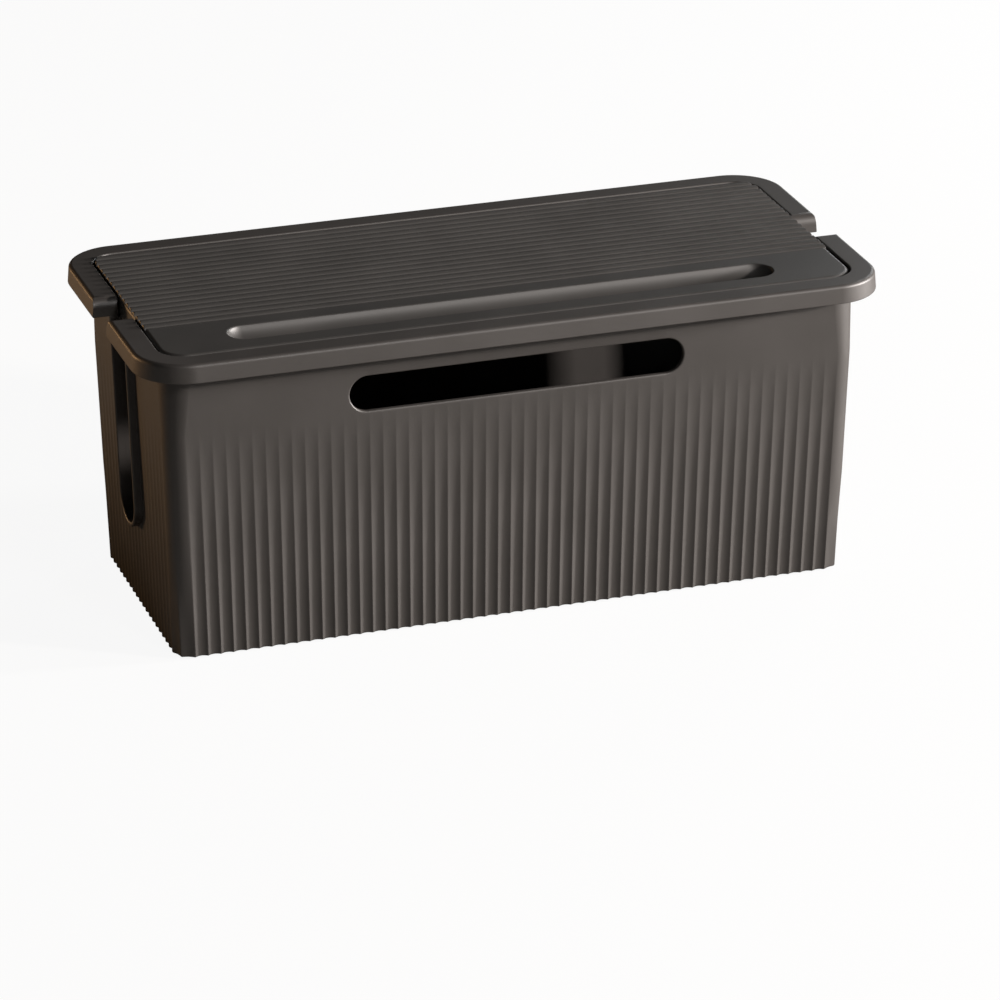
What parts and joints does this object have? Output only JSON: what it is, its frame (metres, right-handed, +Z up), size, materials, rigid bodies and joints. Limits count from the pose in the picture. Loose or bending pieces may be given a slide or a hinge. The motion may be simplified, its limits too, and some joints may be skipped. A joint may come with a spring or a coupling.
{
  "type": "cable management box",
  "caption": "Long lidded desktop box that hides cables and a power strip, with a fluted wall, cable slots in its front and ends, and a ribbed lid with a phone groove.",
  "frame": {"origin": "centre of the rectangle that the whole object covers, on the surface that it stands on", "axes": "+X along the box, to the right for someone who faces its front, +Y towards its back, +Z up"},
  "size_m": [0.4, 0.183, 0.1702],
  "materials": {
    "body_plastic": "dark warm grey, fine matt moulded grain",
    "lid_plastic": "dark warm grey, fine matt moulded grain",
    "foot_rubber": "black soft rubber"
  },
  "bodies": {
    "tub": {"box_body": "body_plastic", "foot_front_left": "foot_rubber", "foot_front_right": "foot_rubber", "foot_rear_left": "foot_rubber", "foot_rear_right": "foot_rubber"},
    "lid": {"lid": "lid_plastic"}
  },
  "joints": [
    {"name": "lid_lift", "type": "slide", "parent": "tub", "child": "lid", "axis": [0, 0, 1], "range_m": [0, 0.1]}
  ]
}
